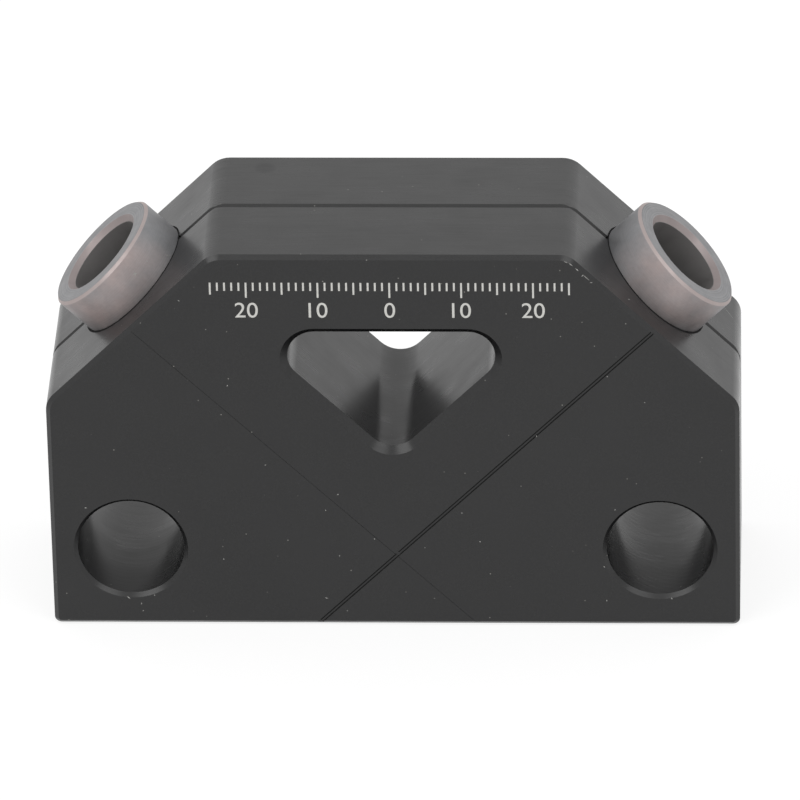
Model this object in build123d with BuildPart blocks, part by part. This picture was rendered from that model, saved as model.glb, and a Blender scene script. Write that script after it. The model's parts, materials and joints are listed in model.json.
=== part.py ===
from build123d import *
from math import cos, radians, sin
import os

# Angle drilling guide: a milled block that holds two hardened drill bushes at 45 degrees.
# Millimetres. +X to the right along the width, +Y to the back, +Z up. The origin is the centre of
# the foot face, so the guide stands on Z = 0 and its front face looks along -Y.

# Block
block_width = 97.3
block_height = 60.0
block_thickness = 29.0
shoulder_height = 36.3  # where the upright sides turn into the slanted shoulders
shoulder_corner_radius = 3.5
foot_corner_radius = 1.0
edge_chamfer = 0.6  # round the outline, front and back

# Bushes: headless, pressed in square to the shoulders, each in the middle of its shoulder
bush_tilt = 45.0  # degrees from upright, the same for axis and shoulder
bush_diameter = 18.5
bush_bore = 12.0
bush_length = 28.0
bush_stand_out = 6.2  # how far a bush stands out of its shoulder
bush_edge_chamfer = 0.4
bush_mouth_chamfer = 0.75
bush_lead_depth = 0.4  # slim taper at the pressed end
bush_lead_length = 2.0

# Pockets that the bushes are pressed into, and the drill passages below them
bush_fit = 0.01  # gap on the radius in place of the real press fit
pocket_mouth_chamfer = 0.25
passage_clearance = 0.3  # on the radius, so that the drill only touches its bush

# Clamp holes, right through from front to back
clamp_hole_diameter = 15.1
clamp_hole_inset = 11.25  # from the block's side to the hole's centre
clamp_hole_height = 12.5
clamp_hole_chamfer = 0.55

# Window: three-cornered, point down, with its sides parallel to the bushes
window_depth = 20.0
window_wall = 2.1  # left between a bush's pocket and the window's side
window_corner_radius = 3.85
window_chamfer = 1.0

# Index grooves on the front: one engraved deep and one barely, each along a drilling axis
index_groove_width = 0.6
deep_groove_depth = 0.2
faint_groove_depth = 0.05
index_shift_right = 0.4  # the engraved cross sits a little off the axes' own crossing
index_shift_up = 0.35

# Centre groove: cut by straight passes over the sides, shoulders and top, and wider at its floor than
# in the face, because the cutter's three-cornered section has its point outside the block
centre_groove_width = 1.0  # in the face
centre_groove_depth = 0.5
cutter_overrun = 0.5  # from the face out to the point of the cutter's section

# Worked out from the sizes above
tilt_sin = sin(radians(bush_tilt))
tilt_cos = cos(radians(bush_tilt))
half_width = block_width / 2
half_top = half_width - (block_height - shoulder_height) * tilt_cos / tilt_sin
right_through = block_width + block_height  # longer than any straight way through the block

bush_radius = bush_diameter / 2
bore_radius = bush_bore / 2
pocket_radius = bush_radius + bush_fit
pocket_depth = bush_length - bush_stand_out
passage_radius = bore_radius + passage_clearance

clamp_hole_spacing = block_width - 2 * clamp_hole_inset

# The middle of a shoulder, where its bush comes out, and where the two drilling axes cross
bush_foot_x = (half_width + half_top) / 2
bush_foot_z = (shoulder_height + block_height) / 2
axes_cross_height = bush_foot_z - bush_foot_x * tilt_cos / tilt_sin

window_point = axes_cross_height + (pocket_radius + window_wall) / tilt_sin
window_top = window_point + window_depth
window_half_width = window_depth * tilt_sin / tilt_cos


def seat_plane(side):
    """Plane on a shoulder where its bush comes out, facing outwards. side is -1 left, 1 right."""
    return Plane(
        origin=(side * bush_foot_x, 0, bush_foot_z),
        x_dir=(0, 1, 0),
        z_dir=(side * tilt_sin, 0, tilt_cos),
    )


def section_plane(side):
    """Upright plane through a bush: x away from its axis, y along the axis out of the shoulder."""
    return Plane(
        origin=(side * bush_foot_x, 0, bush_foot_z),
        x_dir=(side * tilt_cos, 0, -tilt_sin),
        z_dir=(0, -side, 0),
    )


def rims(part):
    """The closed edge loops of the openings in the front and back faces."""
    return [rim for face in part.faces().filter_by(Axis.Y) for rim in face.inner_wires()]


# Where the centre groove's cutter goes straight over: a point on the face, and the way it faces out
groove_passes = [
    ((0, 0, block_height), (0, 0, 1)),
    ((-bush_foot_x, 0, bush_foot_z), (-tilt_sin, 0, tilt_cos)),
    ((bush_foot_x, 0, bush_foot_z), (tilt_sin, 0, tilt_cos)),
    ((-half_width, 0, shoulder_height / 2), (-1, 0, 0)),
    ((half_width, 0, shoulder_height / 2), (1, 0, 0)),
]

# Guide block
with BuildPart() as guide_block:
    # Outline, with rounded corners
    with BuildSketch(Plane.XZ) as outline:
        with BuildLine():
            Polyline(
                (-half_width, 0),
                (half_width, 0),
                (half_width, shoulder_height),
                (half_top, block_height),
                (-half_top, block_height),
                (-half_width, shoulder_height),
                close=True,
            )
        make_face()
        fillet(outline.vertices().group_by(Axis.Y)[1:], radius=shoulder_corner_radius)
        fillet(outline.vertices().group_by(Axis.Y)[0], radius=foot_corner_radius)
    extrude(amount=block_thickness / 2, both=True)
    chamfer(guide_block.faces().filter_by(Axis.Y).edges(), length=edge_chamfer)

    # Clamp holes
    with BuildSketch(Plane.XZ):
        with Locations((0, clamp_hole_height)):
            with GridLocations(clamp_hole_spacing, 0, 2, 1):
                Circle(clamp_hole_diameter / 2)
    extrude(amount=block_thickness, both=True, mode=Mode.SUBTRACT)
    chamfer([rim.edges() for rim in rims(guide_block)], length=clamp_hole_chamfer)

    # Window; its rim has sides and corners, a clamp hole's rim is one circle
    with BuildSketch(Plane.XZ) as window:
        with BuildLine():
            Polyline(
                (0, window_point),
                (window_half_width, window_top),
                (-window_half_width, window_top),
                close=True,
            )
        make_face()
        fillet(window.vertices(), radius=window_corner_radius)
    extrude(amount=block_thickness, both=True, mode=Mode.SUBTRACT)
    window_rims = [rim.edges() for rim in rims(guide_block) if len(rim.edges()) > 1]
    chamfer(window_rims, length=window_chamfer)

    # A pocket for each bush, and its drill passage down to the foot
    for side in (-1, 1):
        seat = seat_plane(side)
        with BuildSketch(seat):
            Circle(pocket_radius)
        extrude(amount=-pocket_depth, mode=Mode.SUBTRACT)
        outwards = Axis(seat.origin, seat.z_dir)
        shoulder = guide_block.faces().filter_by(outwards).sort_by(outwards)[-1]
        chamfer(shoulder.inner_wires()[0].edges(), length=pocket_mouth_chamfer)
        with BuildSketch(seat):
            Circle(passage_radius)
        extrude(amount=-right_through, mode=Mode.SUBTRACT)

    # Centre groove
    for point, outward in groove_passes:
        way = Vector(0, 1, 0).cross(Vector(outward))
        with BuildSketch(Plane(origin=point, x_dir=(0, 1, 0), z_dir=way)):
            with BuildLine():
                flank = centre_groove_width / 2 / cutter_overrun
                reach = cutter_overrun + centre_groove_depth
                Polyline(
                    (0, cutter_overrun),
                    (flank * reach, -centre_groove_depth),
                    (-flank * reach, -centre_groove_depth),
                    close=True,
                )
            make_face()
        extrude(amount=right_through, both=True, mode=Mode.SUBTRACT)

    # Index grooves, from the foot's edge right across to the shoulders
    for side, groove_depth in ((1, deep_groove_depth), (-1, faint_groove_depth)):
        with BuildSketch(Plane.XZ.offset(block_thickness / 2)):
            with Locations((index_shift_right, axes_cross_height + index_shift_up)):
                Rectangle(2 * right_through, index_groove_width, rotation=90 - side * bush_tilt)
        extrude(amount=groove_depth, both=True, mode=Mode.SUBTRACT)

guide_block.part.label = "guide_block"

# Drill bushes: one turned section, revolved on the axis of each shoulder's pocket
bushes = []
for name, side in (("left_drill_bush", -1), ("right_drill_bush", 1)):
    section = section_plane(side)
    with BuildPart() as drill_bush:
        with BuildSketch(section):
            with BuildLine():
                Polyline(
                    (bore_radius, -pocket_depth),
                    (bush_radius - bush_lead_depth, -pocket_depth),
                    (bush_radius, bush_lead_length - pocket_depth),
                    (bush_radius, bush_stand_out - bush_edge_chamfer),
                    (bush_radius - bush_edge_chamfer, bush_stand_out),
                    (bore_radius + bush_mouth_chamfer, bush_stand_out),
                    (bore_radius, bush_stand_out - bush_mouth_chamfer),
                    close=True,
                )
            make_face()
        revolve(axis=Axis(section.origin, section.y_dir))
    drill_bush.part.label = name
    bushes.append(drill_bush.part)

os.makedirs("parts", exist_ok=True)
export_step(guide_block.part, "parts/guide_block.step")
for bush in bushes:
    export_step(bush, f"parts/{bush.label}.step")
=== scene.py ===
import json
from functools import partial
from math import pi, radians

import bpy
import numpy as np
from mathutils import Matrix, Vector


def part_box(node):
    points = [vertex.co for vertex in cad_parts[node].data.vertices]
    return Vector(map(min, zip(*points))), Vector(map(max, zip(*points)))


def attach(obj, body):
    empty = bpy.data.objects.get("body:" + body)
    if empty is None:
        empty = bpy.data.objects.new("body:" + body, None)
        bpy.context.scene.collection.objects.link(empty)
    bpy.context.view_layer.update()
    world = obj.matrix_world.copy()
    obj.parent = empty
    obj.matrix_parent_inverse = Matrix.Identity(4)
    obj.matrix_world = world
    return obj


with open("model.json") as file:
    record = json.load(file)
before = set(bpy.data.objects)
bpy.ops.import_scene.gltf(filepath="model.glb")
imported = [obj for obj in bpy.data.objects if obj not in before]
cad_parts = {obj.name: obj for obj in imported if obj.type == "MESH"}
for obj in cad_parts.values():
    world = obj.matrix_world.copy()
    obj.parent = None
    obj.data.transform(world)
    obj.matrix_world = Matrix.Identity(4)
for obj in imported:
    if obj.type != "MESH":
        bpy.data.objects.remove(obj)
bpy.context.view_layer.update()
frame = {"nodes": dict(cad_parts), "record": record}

bl_info = {
    "name": "Angle drilling guide",
    "version": (1, 0, 0),
    "blender": (4, 5, 0),
    "location": "View3D > Sidebar > Drilling guide",
    "description": "Finishes a black anodised drilling guide block and its two steel drill bushes",
    "category": "Object",
}

MM = 0.001  # every length below is in metres, written as so many millimetres
SLACK = 0.01 * MM  # keeps a limit just clear of the edge that it follows
GOLDEN_ANGLE = pi * (3 - 5 ** 0.5)
CREASE = radians(30)  # faces that meet at more than this keep a crisp edge between them
CORNER_STATIONS = 13  # round one corner of the outline
RING_STATIONS = 96  # round a bush
MOUNTS = {mount["name"]: mount for mount in frame["record"]["mounts"]}

# The block
(_, FRONT, FOOT), (RIGHT, _, TOP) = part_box("guide_block")
SHOULDER_HEIGHT = 36.3 * MM  # where the upright sides turn into the shoulders
SHOULDER_CORNER = 3.5 * MM
FOOT_CORNER = 1.0 * MM
BLOCK_CHAMFER = 0.6 * MM
FLAT_END = RIGHT - (TOP - SHOULDER_HEIGHT)  # where the top turns into the right shoulder

# The bushes, each in the middle of its shoulder
SEAT = np.array(((RIGHT + FLAT_END) / 2, (TOP + SHOULDER_HEIGHT) / 2))  # the right one's, across and up
BUSH_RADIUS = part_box("right_drill_bush")[1][1]
SHOULDER_TO_MOUTH = 6.2 * MM  # how far a bush stands out of its shoulder
MOUTH_CHAMFER = 0.75 * MM
RIM_CHAMFER = 0.4 * MM

# The grooves
CENTRE_GROOVE_WIDTH = 1.0 * MM
GROOVE_PASSES = (0, 45, 90, 135, 180)  # degrees from +X that its straight passes face
GROOVE_RUNS_OUT = -58  # degrees from +X on the foot's rounded corner, just before the V ends
INDEX_WIDTH = 0.6 * MM
INDEX_DEPTH = 0.2 * MM
INDEX_CROSS = np.array((0.4 * MM, SEAT[1] - SEAT[0] + 0.35 * MM))  # just off the drilling axes' crossing

STAIN_MIDDLE = (-18.4 * MM, 10.8 * MM, TOP)

# Lint and nicks on the front face: across and up from the middle of its lower edge, and how long, in mm
FRONT_SPECKS = (
    (-43.6, 19.2, 0.35), (-38.0, 4.4, 0.7), (-36.2, 3.4, 0.4), (-36.0, 2.2, 0.3), (-34.3, 4.8, 0.3),
    (-29.4, 52.9, 0.35), (-24.3, 10.8, 0.25), (-23.0, 39.2, 0.35), (-18.0, 26.3, 0.25), (-9.9, 4.4, 0.5),
    (-9.7, 18.9, 0.25), (-7.9, 11.4, 0.35), (-7.9, 21.5, 0.3), (-7.0, 2.3, 0.25), (-2.9, 14.2, 0.3),
    (4.2, 12.8, 0.25), (5.4, 4.4, 0.25), (9.5, 18.5, 0.3), (12.0, 13.8, 0.25), (20.2, 31.1, 0.3),
    (26.9, 57.0, 0.4), (28.1, 55.9, 0.4), (29.5, 9.7, 0.4), (29.8, 4.1, 0.3), (30.2, 40.8, 0.25),
    (31.1, 19.1, 0.3), (35.4, 36.6, 0.25), (39.0, 4.5, 0.4),
)

# Rubbed spots and a painted glint along the front face's upper right edge: across and up of both ends,
# in mm
EDGE_NICKS_AND_GLINT = (
    (24.3, 59.3, 24.9, 59.0), (25.0, 59.0, 25.6, 58.5),
    (25.9, 58.2, 26.4, 57.7), (26.9, 57.2, 27.9, 56.2),
)

# A scratch and a bit of lint on the right shoulder: down from its middle and back, of both ends, in mm
SHOULDER_MARKS = ((13.4, 8.8, 15.3, 7.8), (-5.2, -12.0, -4.8, -11.6))

# Nicks on the left bush's wall, at both ends: turn from downhill in degrees, and height in mm
BUSH_NICKS = (
    (-71, 1.9, -71, 2.2), (-121, 2.9, -117, 3.4), (-117.5, 2.8, -120.5, 3.5), (-134.5, 2.7, -134.5, 3.0),
    (-151, 1.1, -153, 0.1),
)


def linear(hex_colour):
    """An sRGB hex colour such as "#1A1A1C" as linear red, green and blue."""
    parts = np.array([int(hex_colour[i:i + 2], 16) for i in (1, 3, 5)]) / 255
    low = parts / 12.92
    high = ((parts + 0.055) / 1.055) ** 2.4
    return tuple(float(c) for c in np.where(parts <= 0.04045, low, high))


def rgba(shade):
    """A grey level or a linear colour with full alpha."""
    rgb = (shade,) * 3 if isinstance(shade, (int, float)) else shade
    return (*rgb, 1.0)


def colour(name, description, hex_colour):
    """A colour setting with an sRGB default."""
    return bpy.props.FloatVectorProperty(
        name=name, description=description, default=linear(hex_colour), subtype="COLOR", min=0, max=1
    )


def length(name, description, millimetres):
    """A length setting in metres with a default in millimetres."""
    return bpy.props.FloatProperty(
        name=name, description=description, default=millimetres * MM, unit="LENGTH"
    )


def angle(name, description, degrees):
    """An angle setting with a default in degrees."""
    return bpy.props.FloatProperty(
        name=name, description=description, default=radians(degrees), unit="ROTATION"
    )


def share(name, description, default):
    """A plain factor from 0 to 1."""
    return bpy.props.FloatProperty(
        name=name, description=description, default=default, min=0, max=1, subtype="FACTOR"
    )


def power(name, description, watts):
    """A lamp's power setting."""
    return bpy.props.FloatProperty(
        name=name, description=description, default=watts, min=0, unit="POWER"
    )


class CameraSettings(bpy.types.PropertyGroup):
    aim: bpy.props.FloatVectorProperty(
        name="Aim", description="Point that the camera looks at",
        default=(0.47 * MM, -0.66 * MM, 28.84 * MM), subtype="TRANSLATION",
    )
    azimuth: angle("Azimuth", "Turn round the upright axis, from straight in front", -2.817)
    elevation: angle("Elevation", "Height above the horizon", 30.323)
    roll: angle("Roll", "Turn about the line of sight", -1.302)
    distance: length("Distance", "From the aim point to the camera", 1393.6)
    lens: bpy.props.FloatProperty(
        name="Lens", description="Focal length in mm on a 36 mm sensor", default=442.86
    )


class BlockFinish(bpy.types.PropertyGroup):
    black: colour("Black", "Dyed oxide of the anodised block", "#0E0E0F")
    worn: colour("Worn", "Oxide that handling has greyed", "#161617")
    # Painted sheen: the upper faces take this lighter grey for the gloss they show, more of it behind
    # the line where two milling passes meet
    milled_and_sheen: colour("Milled", "Oxide over the coarser marks of the upper faces", "#292929")
    # Painted sheen: the centre groove's flanks take this grey, lighter than the black, for the gloss
    # they show
    groove: colour("Groove", "Dust settled in the centre groove", "#1B1B1B")
    dust: colour("Dust", "Loose pale specks", "#8F8D88")
    roughness: share("Roughness", "Satin of the anodised face", 0.27)
    blotch_size: length("Blotch size", "Across a patch that handling has greyed", 9.0)
    gloss_size: length("Gloss size", "Across a patch of even gloss", 6.0)
    pepper_size: length("Pepper size", "Between two greyed grains, drawn coarse enough to show", 0.28)
    tooth_size: length("Tooth size", "Between two bumps of the oxide, drawn coarse enough to show", 0.3)
    grain_width: length("Grain width", "Between two milling marks, drawn coarse enough to show", 0.22)
    grain_depth: length("Grain depth", "Height of the milling marks", 0.0012)
    speck_spacing: length("Speck spacing", "Between two dust specks at most", 1.5)
    stain_radius: length("Stain radius", "Reach of the oil stain on the top", 2.4)
    ripple_pitch: length("Ripple pitch", "Between two boring ripples, along the right clamp hole", 1.1)
    ripple_count: bpy.props.IntProperty(
        name="Ripple count", description="Boring ripples once round the right clamp hole", default=24
    )
    ripple_height: bpy.props.FloatProperty(
        name="Ripple height", description="Height of a boring ripple, in grain depths", default=1.2
    )


class BushFinish(bpy.types.PropertyGroup):
    steel: colour("Steel", "Hardened steel, a cool grey", "#939496")
    tint: colour("Tint", "Pinkish brown of heat", "#B0A3A1")
    # Painted highlight: the outer chamfer takes this lighter colour for the glint it shows
    bright: colour("Bright", "Outer chamfer, cut after hardening", "#ABA09E")
    mouth: colour("Mouth", "Chamfer that leads the drill in", "#958C8B")
    # Painted shade: the bore takes this colour, a little darker than the steel
    bore: colour("Bore", "Dark drill bore", "#8C8A89")
    roughness: share("Roughness", "Ground surface", 0.52)
    bore_dullness: share("Bore dullness", "More roughness in the bore", 0.17)
    tint_size: length("Tint size", "Across a patch of heat tint", 4.5)
    gloss_size: length("Gloss size", "Across a patch of even gloss", 2.0)
    cloud_size: length("Cloud size", "Across a faint cloud in the steel", 0.5)
    grit_size: length("Grit size", "Between two grinding lines, drawn coarse enough to show", 0.16)
    ring_spacing: length("Ring spacing", "Between two turning marks, drawn coarse enough to show", 0.3)
    grain_size: length("Grain size", "Between two bumps of the steel, drawn coarse enough to show", 0.25)
    grain_depth: length("Grain depth", "Height of the turning marks and the grain", 0.0015)


class GrooveFill(bpy.types.PropertyGroup):
    flare: length("Flare", "From the middle of the centre groove to the lining's side", 1.05)
    lip: length("Lip", "How far under the surface the lining's lips lie", 0.004)
    depth: length("Depth", "How far under the surface the lining reaches", 0.63)
    bush_gap: length("Bush gap", "Between a bush and the lining's end", 0.35)
    # Painted shade: this near-black colour stands for the shade in the index groove's corners and the
    # contact shadow round each bush
    painted_shade: colour("Grime", "Oil and swarf dust", "#1F1F1F")
    crossing_gap: length("Crossing gap", "Clean stretch on each side of the crossing", 0.25)
    lower_toe: length("Lower toe", "From the index groove's middle to its lower corner's grime", 0.2)
    upper_toe: length("Upper toe", "The same for the upper corner, seen at more of a slant", 0.05)
    # Painted contact shadow round each bush: how wide it is, how much wider in front, and how far above
    # and under the shoulder it lies
    seam_width: length("Seam width", "Grime round a bush, across", 0.2)
    seam_front: length("Seam front", "More width at the front of a bush", 0.25)
    seam_height: length("Seam height", "How far the grime stands above the shoulder", 0.01)
    seam_depth: length("Seam depth", "How far the grime reaches under the shoulder", 0.04)


class ScaleMarks(bpy.types.PropertyGroup):
    white: colour("White", "Laser-bleached oxide", "#D2D1CD")
    unevenness: length("Unevenness", "Across a slightly darker spot of the white", 0.5)
    top: length("Top", "Upper end of the ticks above the foot", 55.8)
    tick_step: length("Tick step", "Between two ticks", 1.0)
    tick_width: length("Tick width", "Across one tick", 0.26)
    long_tick: length("Long tick", "Height of the tick above a number", 2.4)
    middle_tick: length("Middle tick", "Height of the tick halfway between two numbers", 1.9)
    short_tick: length("Short tick", "Height of every other tick", 1.3)
    reach: length("Reach", "From the middle to the last tick", 25.0)
    number_step: length("Number step", "Between two numbers", 10.0)
    number_height: length("Number height", "Height of the digits", 2.4)
    number_base: length("Number base", "Foot line of the digits above the foot", 50.2)
    relief: length("Relief", "How far the marks stand out of the face", 0.01)


class WearMarks(bpy.types.PropertyGroup):
    lint: colour("Lint", "Grey lint", "#6E6E6C")
    bare: colour("Bare", "Aluminium laid bare", "#B4B3B0")
    unevenness: length("Unevenness", "Across a spot of either colour", 0.8)
    width: length("Width", "Across the middle of a mark", 0.16)
    edge_width: length("Edge width", "Across the middle of a nick on the front's edge", 0.14)
    relief: length("Relief", "From a mark's root to its crest", 0.03)
    bush_relief: length("Bush relief", "From a mark's root to its crest on a bush", 0.06)


class StageSettings(bpy.types.PropertyGroup):
    floor: colour("Floor", "Matt white card", "#F0F0EE")
    floor_half: length("Floor half size", "From the middle to the floor's edge", 4000.0)
    floor_gap: length("Floor gap", "Between the foot and the floor's surface", 0.02)
    floor_glow: share("Floor glow", "White that the seen floor shows even in shade", 0.78)
    floor_shade: share("Floor shade", "How much the light adds to that, so how dark a shadow is", 0.28)
    sky_light: share("Sky light", "Strength of the soft light from all round", 0.8)
    left_power: power("Left power", "Left soft lamp", 4.9)
    right_power: power("Right power", "Right soft lamp", 3.5)
    lamp_size: length("Lamp size", "Along one side of a soft lamp", 900.0)
    lamp_across: length("Lamp across", "From the middle to a lamp, to the side", 800.0)
    lamp_forward: length("Lamp forward", "From the middle to a lamp, to the front", 700.0)
    lamp_height: length("Lamp height", "From the floor to a lamp", 1200.0)


SETTINGS = {
    "guide_camera": CameraSettings,
    "guide_block_finish": BlockFinish,
    "guide_bush_finish": BushFinish,
    "guide_groove_fill": GrooveFill,
    "guide_scale_marks": ScaleMarks,
    "guide_wear_marks": WearMarks,
    "guide_stage": StageSettings,
}


def add_node(tree, kind, inputs=(), stops=(), **settings):
    """Adds one node with its settings and colour stops, and fills its inputs, which are given by name or
    as a list in the order of those in use. An input takes a value, an output, or a node, which stands
    for its first output in use."""
    node = tree.nodes.new(kind)
    for name, value in settings.items():
        setattr(node, name, value)
    if stops:
        elements = node.color_ramp.elements
        while len(elements) < len(stops):
            elements.new(1.0)
        for element, (place, shade) in zip(elements, stops):
            element.position = place
            element.color = rgba(shade)
    if isinstance(inputs, dict):
        filled = [(node.inputs[name], value) for name, value in inputs.items()]
    else:
        filled = zip([socket for socket in node.inputs if socket.enabled], inputs)
    for socket, value in filled:
        if isinstance(value, bpy.types.Node):
            value = next(output for output in value.outputs if output.enabled)
        if isinstance(value, bpy.types.NodeSocket):
            tree.links.new(value, socket)
        else:
            socket.default_value = value
    return node


def new_material(name):
    """An empty material, and the function that adds a node to it."""
    material = bpy.data.materials.new(name)
    material.use_nodes = True
    material.node_tree.nodes.clear()
    return material, partial(add_node, material.node_tree)


def bore_chatter(add, where, finish):
    """Slanting ripples that a trembling boring tool left in the right clamp hole: the sine of a phase
    that grows with the depth and with the turn round the hole, and nothing outside the hole."""
    hole = MOUNTS["right_clamp_hole"]
    hole_radius = hole["dims"]["r_mm"] * MM
    across = add("ShaderNodeMath", [where["X"], hole["pos_m"][0]], operation="SUBTRACT")
    up = add("ShaderNodeMath", [where["Z"], hole["pos_m"][2]], operation="SUBTRACT")
    from_axis = add("ShaderNodeCombineXYZ", [across, 0, up])
    from_axis = add("ShaderNodeVectorMath", [from_axis], operation="LENGTH")
    inside = add("ShaderNodeMath", [from_axis, hole_radius + 2 * SLACK], operation="LESS_THAN")
    deeper = add("ShaderNodeMath", [where["Y"], 2 * pi / finish.ripple_pitch], operation="MULTIPLY")
    turn = add("ShaderNodeMath", [up, across], operation="ARCTAN2")
    phase = add("ShaderNodeMath", [turn, finish.ripple_count, deeper], operation="MULTIPLY_ADD")
    ripple = add("ShaderNodeMath", [phase], operation="SINE")
    ripple = add("ShaderNodeMath", [ripple, finish.ripple_height], operation="MULTIPLY")
    return add("ShaderNodeMath", [inside, ripple], operation="MULTIPLY")


def anodised_aluminium(finish):
    """Black anodised aluminium, cut on a mill and then dyed: a near-black satin skin that shows the
    bright room by its gloss, stronger at a slant, and by painted sheen on its upper faces and in its
    centre groove, with fine milling marks and a few pale specks of dust."""
    material, add = new_material("black_anodised_aluminium")
    coordinates = add("ShaderNodeTexCoord").outputs
    place = coordinates["Object"]
    where = add("ShaderNodeSeparateXYZ", [place]).outputs
    facing = add("ShaderNodeSeparateXYZ", [coordinates["Normal"]]).outputs

    # Greyed by handling in soft blotches a few millimetres wide, and peppered by the oxide's fine tooth
    handled = add("ShaderNodeTexNoise", {"Vector": place, "Scale": 1 / finish.blotch_size, "Detail": 4})
    blotches = add("ShaderNodeValToRGB", [handled], stops=[(0.4, 0), (0.75, 0.6)])
    grains = add("ShaderNodeTexNoise", {"Vector": place, "Scale": 1 / finish.pepper_size, "Detail": 1})
    pepper = add("ShaderNodeValToRGB", [grains], stops=[(0.42, 0), (0.62, 1)])
    worn = add("ShaderNodeMath", [blotches, pepper], operation="MAXIMUM")
    skin = add("ShaderNodeMix", [worn, rgba(finish.black), rgba(finish.worn)], data_type="RGBA")

    # Painted sheen: the upper faces are painted greyer, and more so behind the line where two milling
    # passes meet
    upward = add("ShaderNodeValToRGB", [facing["Z"]], stops=[(0.55, 0), (0.95, 1)])
    behind = add("ShaderNodeMath", [where["Y"], FRONT], operation="SUBTRACT")
    behind = add("ShaderNodeMath", [behind, -2 * FRONT], operation="DIVIDE")
    passes = add("ShaderNodeValToRGB", [behind], stops=[(0.31, 0.6), (0.33, 0.8), (1.0, 1.0)])
    greyed = add("ShaderNodeMath", [upward, passes], operation="MULTIPLY")
    skin = add("ShaderNodeMix", [greyed, skin, rgba(finish.milled_and_sheen)], data_type="RGBA")

    # A dark round stain that a drop of oil left on the top
    from_stain = add("ShaderNodeVectorMath", [place, STAIN_MIDDLE], operation="DISTANCE")
    from_stain = add("ShaderNodeMath", [from_stain, finish.stain_radius], operation="DIVIDE")
    stain = add("ShaderNodeValToRGB", [from_stain], stops=[(0.4, 0.75), (0.6, 0.35), (0.68, 0)])
    skin = add("ShaderNodeMix", [stain, skin, rgba(finish.black)], data_type="RGBA")

    # Painted sheen in the centre groove: flanks that lean forwards or back near the middle of the
    # thickness are painted lighter than the black
    leaning = add("ShaderNodeMath", [facing["Y"]], operation="ABSOLUTE")
    leaning = add("ShaderNodeMath", [leaning, 0.4], operation="GREATER_THAN")
    near_middle = add("ShaderNodeMath", [where["Y"]], operation="ABSOLUTE")
    half_groove = CENTRE_GROOVE_WIDTH / 2 + SLACK
    near_middle = add("ShaderNodeMath", [near_middle, half_groove], operation="LESS_THAN")
    in_groove = add("ShaderNodeMath", [leaning, near_middle], operation="MULTIPLY")
    skin = add("ShaderNodeMix", [in_groove, skin, rgba(finish.groove)], data_type="RGBA")

    # Dust: a small dot at the heart of some cells
    cells = add("ShaderNodeTexVoronoi", {"Vector": place, "Scale": 1 / finish.speck_spacing})
    dot = add("ShaderNodeValToRGB", [cells], stops=[(0.03, 0.8), (0.08, 0)])
    chance = add("ShaderNodeSeparateColor", [cells.outputs["Color"]])
    kept = add("ShaderNodeMath", [chance, 0.7], operation="GREATER_THAN")
    specks = add("ShaderNodeMath", [dot, kept], operation="MULTIPLY")
    skin = add("ShaderNodeMix", [specks, skin, rgba(finish.dust)], data_type="RGBA")

    # Milling marks run lengthways, so they are drawn out along X and Z and close together along Y
    drawn = add("ShaderNodeMapping", {"Vector": place, "Scale": (0.03, 1, 0.03)})
    marks = add("ShaderNodeTexNoise", {"Vector": drawn, "Scale": 1 / finish.grain_width, "Detail": 3})
    tooth = add("ShaderNodeTexNoise", {"Vector": place, "Scale": 1 / finish.tooth_size, "Detail": 2})
    relief = add("ShaderNodeMath", [tooth, bore_chatter(add, where, finish)], operation="ADD")
    relief = add("ShaderNodeMath", [marks, relief], operation="ADD")
    bump = add("ShaderNodeBump", {"Strength": 1.0, "Distance": finish.grain_depth, "Height": relief})

    # Gloss in soft patches, duller along the marks of the upper faces
    patches = add("ShaderNodeTexNoise", {"Vector": place, "Scale": 1 / finish.gloss_size, "Detail": 3})
    gloss = add("ShaderNodeValToRGB", [patches], stops=[
        (0.3, finish.roughness - 0.04), (0.7, finish.roughness + 0.06)])
    streaks = add("ShaderNodeValToRGB", [marks], stops=[(0.35, 0), (0.65, 0.12)])
    gloss = add("ShaderNodeMath", [upward, streaks, gloss], operation="MULTIPLY_ADD")
    skin = add("ShaderNodeBsdfPrincipled", {
        "Base Color": skin, "Roughness": gloss, "IOR": 1.5, "Normal": bump})
    add("ShaderNodeOutputMaterial", {"Surface": skin})
    return material


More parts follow.
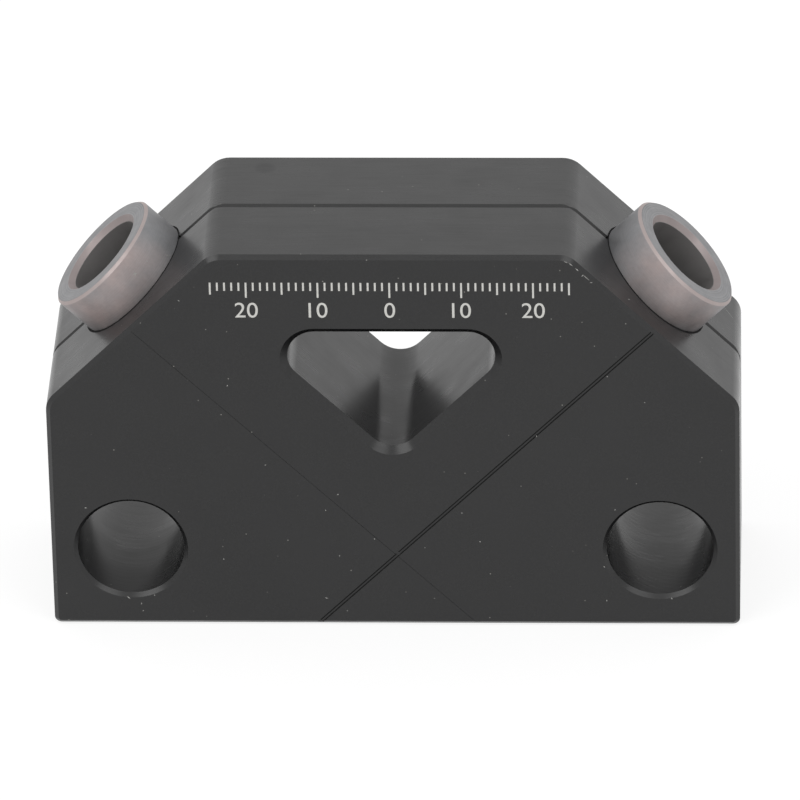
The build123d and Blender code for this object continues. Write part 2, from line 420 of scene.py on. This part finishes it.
def bush_steel(finish, side):
    """Hardened tool steel, ground outside and tinted brownish by heat: duller than bare steel, with
    turning rings on its end face and freshly cut chamfers, and a painted highlight on the outer one."""
    material, add = new_material(side + "_bush_hardened_steel")
    bore = MOUNTS[side + "_bush_bore"]
    bore_radius = bore["dims"]["r_mm"] * MM
    mouth = bore["dims"]["length_mm"] * MM / 2 + MOUTH_CHAMFER  # from the bore's middle, along its axis
    coordinates = add("ShaderNodeTexCoord").outputs
    place = coordinates["Object"]
    facing = add("ShaderNodeSeparateXYZ", [coordinates["Normal"]]).outputs

    # Distance along the axis, counted down from the mouth, and distance from the axis
    offset = add("ShaderNodeVectorMath", [place, bore["pos_m"]], operation="SUBTRACT")
    along = add("ShaderNodeVectorMath", [offset, bore["axis"]], operation="DOT_PRODUCT")
    on_axis = add("ShaderNodeVectorMath", [bore["axis"], along], operation="SCALE")
    from_axis = add("ShaderNodeVectorMath", [offset, on_axis], operation="DISTANCE")
    below_mouth = add("ShaderNodeMath", [mouth, along], operation="SUBTRACT")

    # Heat tint: soft patches, strongest on the front of the wall and fading towards the shoulder
    forwards = add("ShaderNodeMath", [facing["Y"], -1.0], operation="MULTIPLY")
    forwards = add("ShaderNodeValToRGB", [forwards], stops=[(0.35, 0.1), (0.85, 1)])
    band = add("ShaderNodeMath", [below_mouth, SHOULDER_TO_MOUTH], operation="DIVIDE")
    band = add("ShaderNodeValToRGB", [band], stops=[(0.0, 1), (0.75, 1), (1.0, 0.6)])
    patches = add("ShaderNodeTexNoise", {"Vector": place, "Scale": 1 / finish.tint_size, "Detail": 4})
    patches = add("ShaderNodeValToRGB", [patches], stops=[(0.3, 0.35), (0.65, 1)])
    heated = add("ShaderNodeMath", [band, patches], operation="MULTIPLY")
    heated = add("ShaderNodeMath", [forwards, heated], operation="MULTIPLY")
    metal = add("ShaderNodeMix", [heated, rgba(finish.steel), rgba(finish.tint)], data_type="RGBA")

    # Grinding lines round the wall, and faint clouds
    height = add("ShaderNodeCombineXYZ", [along])
    ground = add("ShaderNodeTexNoise", {"Vector": height, "Scale": 1 / finish.grit_size, "Detail": 2})
    ground = add("ShaderNodeValToRGB", [ground], stops=[(0.3, 0.93), (0.7, 1.03)])
    metal = add("ShaderNodeMix", [1.0, metal, ground], data_type="RGBA", blend_type="MULTIPLY")
    clouds = add("ShaderNodeTexNoise", {"Vector": place, "Scale": 1 / finish.cloud_size, "Detail": 3})
    clouds = add("ShaderNodeValToRGB", [clouds], stops=[(0.3, 0.94), (0.7, 1.04)])
    metal = add("ShaderNodeMix", [1.0, metal, clouds], data_type="RGBA", blend_type="MULTIPLY")

    # Turning rings on the end face
    radius = add("ShaderNodeCombineXYZ", [from_axis])
    rings = add("ShaderNodeTexNoise", {"Vector": radius, "Scale": 1 / finish.ring_spacing, "Detail": 2})
    ring_tone = add("ShaderNodeValToRGB", [rings], stops=[(0.3, 0.8), (0.7, 1.15)])
    turned = add("ShaderNodeMix", [1.0, metal, ring_tone], data_type="RGBA", blend_type="MULTIPLY")
    on_face = add("ShaderNodeMath", [below_mouth, 2 * SLACK], operation="LESS_THAN")
    metal = add("ShaderNodeMix", [on_face, metal, turned], data_type="RGBA")

    # Chamfers, outside and at the mouth, and the bore past them. The outer chamfer's bright colour is a
    # painted highlight
    near_mouth = add("ShaderNodeMath", [below_mouth, RIM_CHAMFER - SLACK], operation="LESS_THAN")
    rim_start = BUSH_RADIUS - RIM_CHAMFER + 2 * SLACK
    on_rim = add("ShaderNodeMath", [from_axis, rim_start], operation="GREATER_THAN")
    on_rim = add("ShaderNodeMath", [near_mouth, on_rim], operation="MULTIPLY")
    metal = add("ShaderNodeMix", [on_rim, metal, rgba(finish.bright)], data_type="RGBA")
    mouth_end = bore_radius + MOUTH_CHAMFER - SLACK
    in_mouth = add("ShaderNodeMath", [from_axis, mouth_end], operation="LESS_THAN")
    metal = add("ShaderNodeMix", [in_mouth, metal, rgba(finish.mouth)], data_type="RGBA")
    # Painted shade: the bore is painted a little darker than the wall
    in_bore = add("ShaderNodeMath", [from_axis, bore_radius + 3 * SLACK], operation="LESS_THAN")
    metal = add("ShaderNodeMix", [in_bore, metal, rgba(finish.bore)], data_type="RGBA")

    # Gloss in soft patches, duller in the bore, over the rings and a fine grain
    gloss = add("ShaderNodeTexNoise", {"Vector": place, "Scale": 1 / finish.gloss_size, "Detail": 3})
    gloss = add("ShaderNodeValToRGB", [gloss], stops=[
        (0.3, finish.roughness - 0.06), (0.7, finish.roughness + 0.08)])
    gloss = add("ShaderNodeMath", [in_bore, finish.bore_dullness, gloss], operation="MULTIPLY_ADD")
    grain = add("ShaderNodeTexNoise", {"Vector": place, "Scale": 1 / finish.grain_size, "Detail": 2})
    relief = add("ShaderNodeMath", [rings, grain], operation="ADD")
    bump = add("ShaderNodeBump", {"Strength": 1.0, "Distance": finish.grain_depth, "Height": relief})
    steel = add("ShaderNodeBsdfPrincipled", {
        "Base Color": metal, "Metallic": 1.0, "Roughness": gloss, "Normal": bump})
    add("ShaderNodeOutputMaterial", {"Surface": steel})
    return material


def laser_white(marks):
    """Oxide bleached by a laser: matt, off-white, a little uneven."""
    material, add = new_material("laser_bleached_oxide")
    place = add("ShaderNodeTexCoord").outputs["Object"]
    uneven = add("ShaderNodeTexNoise", {"Vector": place, "Scale": 1 / marks.unevenness, "Detail": 2})
    uneven = add("ShaderNodeValToRGB", [uneven], stops=[(0.3, 0.85), (0.7, 1.0)])
    white = add(
        "ShaderNodeMix", [1.0, rgba(marks.white), uneven], data_type="RGBA", blend_type="MULTIPLY")
    oxide = add("ShaderNodeBsdfPrincipled", {"Base Color": white, "Roughness": 0.7})
    add("ShaderNodeOutputMaterial", {"Surface": oxide})
    return material


def painted_shade_material(fill):
    """Painted shade laid into corners and round seams: nearly black, matt, and by its low IOR without
    gloss.
    """
    material, add = new_material("painted_shade_material")
    painted_shade = add("ShaderNodeBsdfPrincipled", {
        "Base Color": rgba(fill.painted_shade), "Roughness": 0.9, "IOR": 1.2})
    add("ShaderNodeOutputMaterial", {"Surface": painted_shade})
    return material


def pale_lint(wear):
    """Lint and nicks where bare aluminium shows: pale grey and matt."""
    material, add = new_material("pale_lint_and_bare_nicks")
    place = add("ShaderNodeTexCoord").outputs["Object"]
    uneven = add("ShaderNodeTexNoise", {"Vector": place, "Scale": 1 / wear.unevenness, "Detail": 2})
    pale = add("ShaderNodeValToRGB", [uneven], stops=[(0.3, wear.lint), (0.7, wear.bare)])
    mark = add("ShaderNodeBsdfPrincipled", {"Base Color": pale, "Roughness": 0.6})
    add("ShaderNodeOutputMaterial", {"Surface": mark})
    return material


def smooth_turned_faces(limit):
    """A modifier group that joins the loose triangles and shades them smooth where two faces meet at
    less than the limit, so that turned and rounded faces look round and cut edges stay crisp."""
    group = bpy.data.node_groups.new("smooth_turned_faces", "GeometryNodeTree")
    group.interface.new_socket("Geometry", in_out="INPUT", socket_type="NodeSocketGeometry")
    group.interface.new_socket("Geometry", in_out="OUTPUT", socket_type="NodeSocketGeometry")
    add = partial(add_node, group)
    source = add("NodeGroupInput").outputs["Geometry"]
    joined = add("GeometryNodeMergeByDistance", {"Geometry": source, "Distance": SLACK / 10})
    all_faces = {"Geometry": joined, "Shade Smooth": True}
    smooth_all = add("GeometryNodeSetShadeSmooth", all_faces, domain="FACE")
    meeting = add("GeometryNodeInputMeshEdgeAngle").outputs["Unsigned Angle"]
    cut = add("FunctionNodeCompare", [meeting, limit], data_type="FLOAT", operation="GREATER_THAN")
    crisp = {"Geometry": smooth_all, "Selection": cut, "Shade Smooth": False}
    add("NodeGroupOutput", {"Geometry": add("GeometryNodeSetShadeSmooth", crisp, domain="EDGE")})
    return group


def smooth(piece):
    """Adds the modifiers that shade turned faces smooth and keep flat ones flat."""
    group = bpy.data.node_groups.get("smooth_turned_faces") or smooth_turned_faces(CREASE)
    piece.modifiers.new("smooth_turned_faces", "NODES").node_group = group
    flat = piece.modifiers.new("flat_faces_stay_flat", "WEIGHTED_NORMAL")
    flat.keep_sharp = True


def dress(node_name, material):
    """Gives a CAD node its material and smooth turned faces. Its mesh and place stay as they are."""
    piece = frame["nodes"][node_name]
    piece.data.materials.clear()
    piece.data.materials.append(material)
    smooth(piece)


def new_piece(name, points, faces, material):
    """A mesh object at the origin from an array of points and a list of faces."""
    mesh = bpy.data.meshes.new(name)
    mesh.from_pydata(points.tolist(), [], faces)
    mesh.update()
    mesh.materials.append(material)
    piece = bpy.data.objects.new(name, mesh)
    bpy.context.scene.collection.objects.link(piece)
    return piece


def join_meshes(parts):
    """Several (points, faces) pairs as one: each pair's face numbers grow by the points before it."""
    points, faces, count = [], [], 0
    for more_points, more_faces in parts:
        points.append(more_points)
        faces += [[index + count for index in face] for face in more_faces]
        count += len(more_points)
    return np.concatenate(points), faces


def outward(degrees):
    """Unit vectors across and up at angles from +X: the cosine and the sine of each."""
    turn = np.radians(degrees)
    return np.stack([np.cos(turn), np.sin(turn)], axis=-1)


def on_front(places):
    """Points on the front face from places across and up: the front goes in between."""
    return np.insert(places, 1, FRONT, axis=-1)


def bush_frame(side):
    """The middle of a bush's shoulder, and unit vectors down it, back, and out along the bush's axis."""
    axis = np.array(MOUNTS[side + "_bush_bore"]["axis"])
    sign = np.sign(axis[0])
    middle = np.array((sign * SEAT[0], 0.0, SEAT[1]))
    return middle, np.array([(sign * axis[2], 0.0, -abs(axis[0])), (0.0, 1.0, 0.0), axis])


def round_bush(turn):
    """Directions square to a bush's axis, as down, back and out: cosine and sine of the turn, and 0."""
    return np.stack([np.cos(turn), np.sin(turn), np.zeros_like(turn)], axis=-1)


BOX_CORNERS = np.array([(x, y, z) for x in (-1, 1) for y in (-1, 1) for z in (-1, 1)]) / 2
BOX_FACES = np.array([
    (0, 1, 3, 2), (4, 6, 7, 5), (0, 4, 5, 1), (2, 3, 7, 6), (0, 2, 6, 4), (1, 5, 7, 3)])


def boxes(centres, sizes):
    """Points and faces of boxes: each centre plus each size times the unit box's corners."""
    points = centres[:, None, :] + BOX_CORNERS[None] * sizes[:, None, :]
    shift = 8 * np.arange(len(centres))[:, None, None]
    faces = (BOX_FACES[None] + shift).reshape(-1, 4)
    return points.reshape(-1, 3), faces.tolist()


def digits(text, height):
    """Points and faces of a number in the plane Y = 0, centred on X = 0, standing on Z = 0, one unit
    thick: the letters' own outline, scaled to the height."""
    curve = bpy.data.curves.new("digits", "FONT")
    curve.body = text
    curve.extrude = 0.5
    shape = bpy.data.objects.new("digits", curve)
    mesh = bpy.data.meshes.new_from_object(shape)
    points = np.empty(len(mesh.vertices) * 3)
    mesh.vertices.foreach_get("co", points)
    points = points.reshape(-1, 3)
    faces = [tuple(face.vertices) for face in mesh.polygons]
    bpy.data.objects.remove(shape)
    bpy.data.meshes.remove(mesh)
    bpy.data.curves.remove(curve)
    low, high = points.min(axis=0), points.max(axis=0)
    scale = height / (high[1] - low[1])
    across = (points[:, 0] - (low[0] + high[0]) / 2) * scale
    up = (points[:, 1] - low[1]) * scale
    return np.stack([across, -points[:, 2], up], axis=1), faces


def slivers(starts, ends, up, width, height):
    """Points and faces of low pointed ridges: each has its two tips at a start and an end, its sides
    half the width away across the run, and its crest and root half the height away along the up
    direction."""
    run = ends - starts
    across = np.cross(up, run / np.linalg.norm(run, axis=1, keepdims=True))
    middle = (starts + ends) / 2
    lift = up * height / 2
    sides = across * width / 2
    points = [starts, middle + sides, ends, middle - sides, middle + lift, middle - lift]
    ridge = np.array([
        (0, 1, 4), (1, 2, 4), (2, 3, 4), (3, 0, 4), (1, 0, 5), (2, 1, 5), (3, 2, 5), (0, 3, 5)])
    faces = (ridge[None, :, ::-1] + 6 * np.arange(len(starts))[:, None, None]).reshape(-1, 3)
    return np.stack(points, axis=1).reshape(-1, 3), faces.tolist()


def extruded(stations, closed=False):
    """Points and faces of a profile drawn through stations, an array of (station, profile point, XYZ): a
    quad from every profile edge to the same edge at the next station, and a cap on each end unless the
    run is closed. A profile runs anticlockwise as seen from the stations still to come."""
    count, size = stations.shape[:2]
    index = np.arange(count * size).reshape(count, size)
    ahead = np.roll(index, -1, axis=0) if closed else index[1:]
    here = index if closed else index[:-1]
    quads = np.stack([here, np.roll(here, -1, axis=1), np.roll(ahead, -1, axis=1), ahead], axis=-1)
    faces = quads.reshape(-1, 4).tolist()
    if not closed:
        faces += [index[0, ::-1].tolist(), index[-1].tolist()]
    return stations.reshape(-1, 3), faces


def rounded_corner(corner, first, last, radius, shown_from=None):
    """Stations round one corner of the outline, between faces that point out at two angles in degrees:
    the arc's centre plus radius times the direction outwards. Each has across, up, the angle, and how
    far the groove's nearest straight pass lies above the arc: radius times one minus the cosine of the
    turn between them."""
    between = outward(first) + outward(last)
    centre = np.array(corner) - radius * between / (1 + outward(first) @ outward(last))
    angles = np.linspace(first if shown_from is None else shown_from, last, CORNER_STATIONS)
    turns = np.abs(angles[:, None] - np.array(GROOVE_PASSES)).min(axis=1)
    missed = radius * (1 - np.cos(np.radians(turns)))
    return np.column_stack([centre + radius * outward(angles), angles, missed])


def mirrored(stations):
    """The same stations on the left, in reverse: across changes sign, and 180 degrees less the angle."""
    return (stations * (-1, 1, -1, 1) + (0, 0, 180, 0))[::-1]


def groove_run(stations, fill):
    """The closed shape of one run of the centre groove's lining: a V as wide as the groove in a flat
    face, shallower where a corner is rounded, with lips under the surface. Each profile point has its
    place along the thickness and its depth, which counts from the station against the way out."""
    across, up, angles, missed = stations.T
    half = np.maximum(CENTRE_GROOVE_WIDTH / 2 - missed, SLACK)
    one = np.ones_like(half)
    flare, lip, depth = fill.flare * one, fill.lip * one, fill.depth * one
    sideways = np.stack([-flare, -half, 0 * one, half, flare, flare, -flare], axis=1)
    deep = np.stack([lip, lip, half, lip, lip, depth, depth], axis=1)
    out = outward(angles)
    points = [across[:, None] - deep * out[:, :1], sideways, up[:, None] - deep * out[:, 1:]]
    return extruded(np.stack(points, axis=-1))


def corner_wedge(start, end, profile):
    """A closed wedge along the deep index groove: each profile point, sideways and deep, goes from start
    to end, counted along the groove from the crossing."""
    along = np.array((start, end))[:, None, None] * outward(45)
    spots = INDEX_CROSS + along + profile[:, :1] * outward(-45)
    deep = np.broadcast_to(FRONT + profile[:, 1], spots.shape[:2])
    return extruded(np.stack([spots[..., 0], deep, spots[..., 1]], axis=-1))


class GUIDE_OT_lining(bpy.types.Operator):
    """Lines the centre groove, and lays painted shade in the index groove's corners and a painted shadow
    round both bushes
    """

    bl_idname = "guide.line_grooves"
    bl_label = "Line the grooves"

    def execute(self, context):
        fill = context.scene.guide_groove_fill

        # The lining's three runs end at the foot and beside each bush
        clear = BUSH_RADIUS + fill.bush_gap
        below_bush, above_bush = (
            np.array([[*(SEAT + run * outward(-45)), 45, 0]]) for run in (clear, -clear))
        side_run = np.concatenate([
            rounded_corner((RIGHT, FOOT), -90, 0, FOOT_CORNER, shown_from=GROOVE_RUNS_OUT),
            rounded_corner((RIGHT, SHOULDER_HEIGHT), 0, 45, SHOULDER_CORNER), below_bush])
        half_top = np.concatenate([above_bush, rounded_corner((FLAT_END, TOP), 45, 90, SHOULDER_CORNER)])
        runs = [side_run, np.concatenate([half_top, mirrored(half_top)]), mirrored(side_run)]
        shape = join_meshes([groove_run(run, fill) for run in runs])
        black = bpy.data.materials["black_anodised_aluminium"]
        lining = new_piece("centre_groove_lining", *shape, black)
        smooth(lining)
        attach(lining, "root")

        # Painted shade in the deep index groove's corners, from chamfer to chamfer, with a gap at the
        # crossing
        painted_shade = painted_shade_material(fill)
        way = outward(45)
        first = (FOOT + BLOCK_CHAMFER - INDEX_CROSS[1]) / way[1]
        last = (RIGHT + SHOULDER_HEIGHT - BLOCK_CHAMFER * 2 ** 0.5 - INDEX_CROSS.sum()) / way.sum()
        wall, floor = INDEX_WIDTH / 2 + SLACK, INDEX_DEPTH + SLACK
        edge = 0.4 * INDEX_DEPTH  # under the face, where the grime on a wall begins
        wedges = []
        for start, end in ((first, -fill.crossing_gap), (fill.crossing_gap, last)):
            for side, toe in ((-1, fill.upper_toe), (1, fill.lower_toe)):
                profile = [(wall, edge), (toe, INDEX_DEPTH - SLACK / 2), (wall, floor)]
                wedges.append(corner_wedge(start, end, np.array(profile)[::side] * (side, 1)))
        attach(new_piece("index_groove_painted_shade", *join_meshes(wedges), painted_shade), "root")

        # Painted contact shadow round each bush where it leaves its shoulder, thickest in front
        for name in ("left", "right"):
            middle, directions = bush_frame(name)
            turn = np.linspace(0, 2 * pi, RING_STATIONS, endpoint=False) * np.sign(middle[0])
            reach = BUSH_RADIUS + fill.seam_width + fill.seam_front * np.clip(-np.sin(turn), 0, 1)
            inner = np.full_like(turn, BUSH_RADIUS - SLACK)
            radii = np.stack([inner, reach, reach, inner], axis=1)
            heights = np.array((fill.seam_height, fill.seam_height, -fill.seam_depth, -fill.seam_depth))
            stations = (middle + radii[..., None] * (round_bush(turn) @ directions)[:, None]
                        + heights[:, None] * directions[2])
            ring = new_piece(name + "_seam_painted_shadow", *extruded(stations, closed=True), painted_shade)
            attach(ring, "root")
        return {"FINISHED"}


class GUIDE_OT_wear(bpy.types.Operator):
    """Lays the lint, nicks and scratches on the front face, the right shoulder and the left bush, with a
    painted glint along the front's upper right edge
    """

    bl_idname = "guide.lay_wear"
    bl_label = "Lay the wear"

    def execute(self, context):
        wear = context.scene.guide_wear_marks
        material = pale_lint(wear)
        forwards = np.array((0.0, -1.0, 0.0))

        # Each speck of lint is turned by one more golden angle, which spreads their directions
        specks = np.array(FRONT_SPECKS) * MM
        middle = on_front(specks[:, :2])
        turn = np.arange(len(specks)) * GOLDEN_ANGLE
        half = np.stack([np.cos(turn), np.zeros_like(turn), np.sin(turn)], axis=1) * specks[:, 2:] / 2
        shape = slivers(middle - half, middle + half, forwards, wear.width, wear.relief)
        lint = new_piece("front_lint", *shape, material)
        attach(lint, "root")

        # Nicks along the front's edge, where the chamfer meets the face: pale slivers for bare spots
        # that also paint the edge's glint
        edge = np.array(EDGE_NICKS_AND_GLINT) * MM
        starts, ends = on_front(edge[:, :2]), on_front(edge[:, 2:])
        shape = slivers(starts, ends, forwards, wear.edge_width, wear.relief)
        nicks = new_piece("edge_nicks_and_glint", *shape, material)
        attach(nicks, "root")

        # The scratch behind the right bush, and the lint in front of it
        middle, directions = bush_frame("right")
        marks = np.array(SHOULDER_MARKS) * MM
        starts, ends = (middle + marks[:, i:i + 2] @ directions[:2] for i in (0, 2))
        shape = slivers(starts, ends, directions[2], wear.width, wear.relief)
        scratch = new_piece("shoulder_scratch", *shape, material)
        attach(scratch, "root")

        # Nicks on the left bush's wall
        middle, directions = bush_frame("left")
        nicks = np.array(BUSH_NICKS)
        starts_out, ends_out = (round_bush(np.radians(nicks[:, i])) @ directions for i in (0, 2))
        starts = middle + starts_out * BUSH_RADIUS + nicks[:, 1:2] * MM * directions[2]
        ends = middle + ends_out * BUSH_RADIUS + nicks[:, 3:] * MM * directions[2]
        shape = slivers(starts, ends, ends_out, wear.width, wear.bush_relief)
        marks = new_piece("bush_nicks", *shape, material)
        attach(marks, "root")
        return {"FINISHED"}


class GUIDE_OT_camera(bpy.types.Operator):
    """Places the camera on a sphere round the aim point and turns it about its line of sight"""

    bl_idname = "guide.place_camera"
    bl_label = "Place the camera"

    def execute(self, context):
        placing = context.scene.guide_camera
        data = bpy.data.cameras.new("camera")
        data.sensor_width = 36.0
        data.lens = placing.lens
        data.clip_start = 0.05
        data.clip_end = 50.0
        camera = bpy.data.objects.new("camera", data)
        turn = Matrix.Rotation(-placing.azimuth, 4, "Z")
        lift = Matrix.Rotation(pi / 2 - placing.elevation, 4, "X")
        roll = Matrix.Rotation(placing.roll, 4, "Z")
        back = Matrix.Translation((0, 0, placing.distance))
        camera.matrix_world = Matrix.Translation(placing.aim) @ turn @ lift @ roll @ back
        context.scene.collection.objects.link(camera)
        context.scene.camera = camera
        return {"FINISHED"}


def seen_by_eye(add):
    """1 where the camera sees straight, by gloss or through glass, and 0 where light goes elsewhere."""
    rays = add("ShaderNodeLightPath").outputs
    seen = add("ShaderNodeMath", [rays["Is Camera Ray"], rays["Is Glossy Ray"]], operation="MAXIMUM")
    return add("ShaderNodeMath", [seen, rays["Is Transmission Ray"]], operation="MAXIMUM")


class GUIDE_OT_stage(bpy.types.Operator):
    """Lays a matt white floor and lights it softly from all round"""

    bl_idname = "guide.lay_stage"
    bl_label = "Lay the floor and light it"

    def execute(self, context):
        stage = context.scene.guide_stage

        # What the eye sees of the floor glows, so it is white and darker only where the guide shades it
        material, add = new_material("matt_white_card")
        card = add("ShaderNodeBsdfDiffuse", {"Color": rgba(stage.floor)})
        lit = add("ShaderNodeBsdfDiffuse", {"Color": rgba(stage.floor_shade)})
        glow = add("ShaderNodeEmission", {"Color": rgba(1), "Strength": stage.floor_glow})
        white = add("ShaderNodeAddShader", [lit, glow])
        floor = add("ShaderNodeMixShader", [seen_by_eye(add), card, white])
        add("ShaderNodeOutputMaterial", {"Surface": floor})
        half = stage.floor_half
        corners = np.array([(-half, -half, 0), (half, -half, 0), (half, half, 0), (-half, half, 0)])
        corners[:, 2] = FOOT - stage.floor_gap
        new_piece("floor", corners, [(0, 1, 2, 3)], material)

        # The room is white to the eye and lights the guide at its own strength
        world = bpy.data.worlds.new("soft_room")
        world.use_nodes = True
        world.node_tree.nodes.clear()
        add = partial(add_node, world.node_tree)
        strength = add("ShaderNodeMath", [seen_by_eye(add), stage.sky_light], operation="MAXIMUM")
        room = add("ShaderNodeBackground", {"Color": rgba(1), "Strength": strength})
        add("ShaderNodeOutputWorld", {"Surface": room})
        context.scene.world = world

        # Two large soft lamps, high in front, one on each side
        for side, sign, watts in (("left", -1, stage.left_power), ("right", 1, stage.right_power)):
            data = bpy.data.lights.new(side + "_soft_lamp", "AREA")
            data.size = stage.lamp_size
            data.energy = watts
            lamp = bpy.data.objects.new(side + "_soft_lamp", data)
            place = Vector((sign * stage.lamp_across, -stage.lamp_forward, stage.lamp_height))
            turn = place.to_track_quat("Z", "Y").to_matrix().to_4x4()
            lamp.matrix_world = Matrix.Translation(place) @ turn
            context.scene.collection.objects.link(lamp)
        return {"FINISHED"}


class GUIDE_OT_block(bpy.types.Operator):
    """Anodises the guide block black"""

    bl_idname = "guide.anodise_block"
    bl_label = "Anodise the block"

    def execute(self, context):
        dress("guide_block", anodised_aluminium(context.scene.guide_block_finish))
        return {"FINISHED"}


class GUIDE_OT_bushes(bpy.types.Operator):
    """Gives both drill bushes their heat-tinted steel"""

    bl_idname = "guide.finish_bushes"
    bl_label = "Finish the bushes"

    def execute(self, context):
        for side in ("left", "right"):
            dress(side + "_drill_bush", bush_steel(context.scene.guide_bush_finish, side))
        return {"FINISHED"}


class GUIDE_OT_scale(bpy.types.Operator):
    """Marks a plain scale with ticks and numbers on the front face, from the middle outwards"""

    bl_idname = "guide.mark_scale"
    bl_label = "Mark the scale"

    def execute(self, context):
        marks = context.scene.guide_scale_marks
        material = laser_white(marks)
        last = round(marks.reach / marks.tick_step)
        ticks_per_number = round(marks.number_step / marks.tick_step)
        steps = np.arange(-last, last + 1)
        heights = np.where(steps % (ticks_per_number // 2) == 0, marks.middle_tick, marks.short_tick)
        heights = np.where(steps % ticks_per_number == 0, marks.long_tick, heights)
        centres = on_front(np.stack([steps * marks.tick_step, marks.top - heights / 2], axis=1))
        widths = np.full(len(steps), marks.tick_width)
        depths = np.full(len(steps), 2 * marks.relief)
        sizes = np.stack([widths, depths, heights], axis=1)
        ticks = new_piece("scale_ticks", *boxes(centres, sizes), material)
        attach(ticks, "root")

        parts = []
        last_number = last // ticks_per_number
        for number in range(-last_number, last_number + 1):
            points, faces = digits(str(abs(number) * ticks_per_number), marks.number_height)
            points = points * (1, 2 * marks.relief, 1)
            parts.append((points + (number * marks.number_step, FRONT, marks.number_base), faces))
        numbers = new_piece("scale_numbers", *join_meshes(parts), material)
        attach(numbers, "root")
        return {"FINISHED"}


OPERATORS = (
    GUIDE_OT_camera, GUIDE_OT_stage, GUIDE_OT_block, GUIDE_OT_bushes, GUIDE_OT_lining, GUIDE_OT_scale,
    GUIDE_OT_wear,
)


class GUIDE_PT_panel(bpy.types.Panel):
    bl_label = "Drilling guide"
    bl_idname = "GUIDE_PT_panel"
    bl_space_type = "VIEW_3D"
    bl_region_type = "UI"
    bl_category = "Drilling guide"

    def draw(self, context):
        for operator in OPERATORS:
            self.layout.operator(operator.bl_idname)
        for name, group in SETTINGS.items():
            column = self.layout.column()
            for prop in group.__annotations__:
                column.prop(getattr(context.scene, name), prop)


def register():
    for cls in (*SETTINGS.values(), *OPERATORS, GUIDE_PT_panel):
        bpy.utils.register_class(cls)
    for name, group in SETTINGS.items():
        setattr(bpy.types.Scene, name, bpy.props.PointerProperty(type=group))


def unregister():
    for name in SETTINGS:
        delattr(bpy.types.Scene, name)
    for cls in reversed((*SETTINGS.values(), *OPERATORS, GUIDE_PT_panel)):
        bpy.utils.unregister_class(cls)


def main():
    """Makes the whole scene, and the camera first."""
    register()
    bpy.context.scene.view_settings.view_transform = "Standard"
    bpy.ops.guide.place_camera()
    bpy.ops.guide.lay_stage()
    bpy.ops.guide.anodise_block()
    bpy.ops.guide.finish_bushes()
    bpy.ops.guide.line_grooves()
    bpy.ops.guide.mark_scale()
    bpy.ops.guide.lay_wear()


if __name__ == "__main__":
    main()
